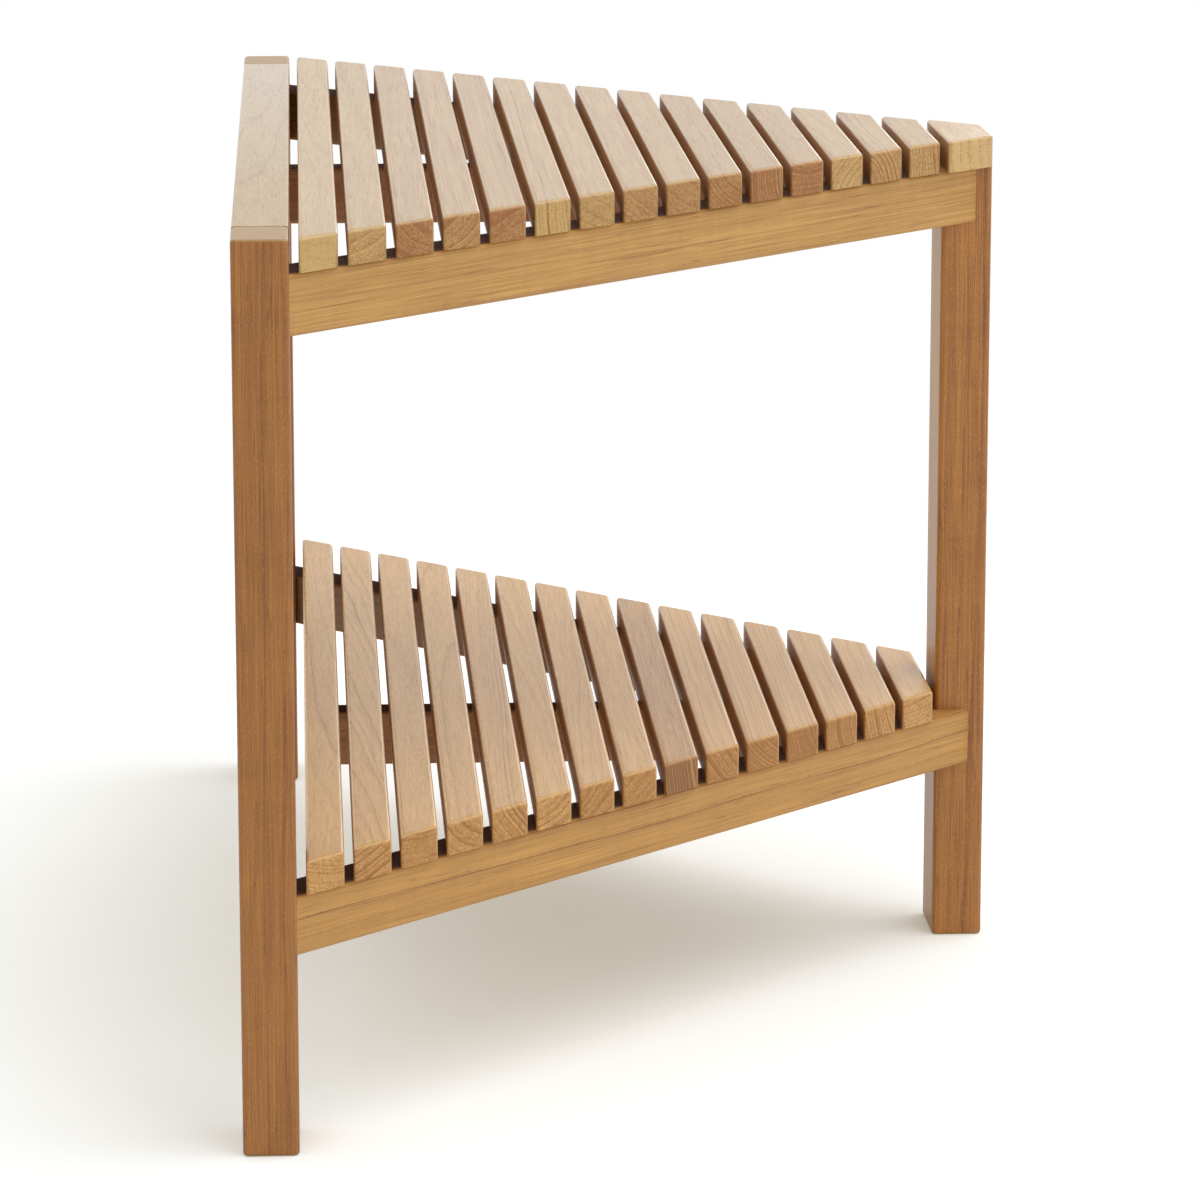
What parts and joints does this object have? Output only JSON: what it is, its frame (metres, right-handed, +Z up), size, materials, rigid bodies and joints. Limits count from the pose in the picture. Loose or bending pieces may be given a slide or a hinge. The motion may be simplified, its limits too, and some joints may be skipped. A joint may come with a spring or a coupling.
{
  "type": "corner shower bench",
  "caption": "Three-legged triangular teak bench for a shower corner, with a slatted seat and a slatted shelf of mitred slats on slanted side rails and a middle brace.",
  "frame": {"origin": "on the floor, under the middle of the bench's bounding box", "axes": "+X along the slats and the long front side, +Y from the front towards the wall corner, +Z up"},
  "size_m": [0.816, 0.416, 0.457],
  "materials": {
    "slat_teak": "sanded, lightly oiled",
    "frame_teak": "sanded, lightly oiled",
    "pin_steel": "satin stainless"
  },
  "bodies": {
    "root": {"corner_leg": "frame_teak", "front_leg_left": "frame_teak", "front_leg_right": "frame_teak", "seat_brace": "frame_teak", "seat_corner_cap": "slat_teak", "seat_front_rail": "frame_teak", "seat_rail_tenons": "frame_teak", "seat_side_rail_left": "frame_teak", "seat_side_rail_right": "frame_teak", "seat_slat_01": "slat_teak", "seat_slat_02": "slat_teak", "seat_slat_03": "slat_teak", "seat_slat_04": "slat_teak", "seat_slat_05": "slat_teak", "seat_slat_06": "slat_teak", "seat_slat_07": "slat_teak", "seat_slat_08": "slat_teak", "seat_slat_09": "slat_teak", "seat_slat_10": "slat_teak", "seat_slat_11": "slat_teak", "seat_slat_12": "slat_teak", "seat_slat_13": "slat_teak", "seat_slat_14": "slat_teak", "seat_slat_15": "slat_teak", "seat_slat_pins": "pin_steel", "shelf_brace": "frame_teak", "shelf_rail_tenons": "frame_teak", "shelf_side_rail_left": "frame_teak", "shelf_side_rail_right": "frame_teak", "shelf_slat_01": "slat_teak", "shelf_slat_02": "slat_teak", "shelf_slat_03": "slat_teak", "shelf_slat_04": "slat_teak", "shelf_slat_05": "slat_teak", "shelf_slat_06": "slat_teak", "shelf_slat_07": "slat_teak", "shelf_slat_08": "slat_teak", "shelf_slat_09": "slat_teak", "shelf_slat_10": "slat_teak", "shelf_slat_11": "slat_teak", "shelf_slat_12": "slat_teak", "shelf_slat_13": "slat_teak", "shelf_slat_14": "slat_teak", "shelf_slat_15": "slat_teak", "shelf_slat_pins": "pin_steel"}
  },
  "joints": []
}
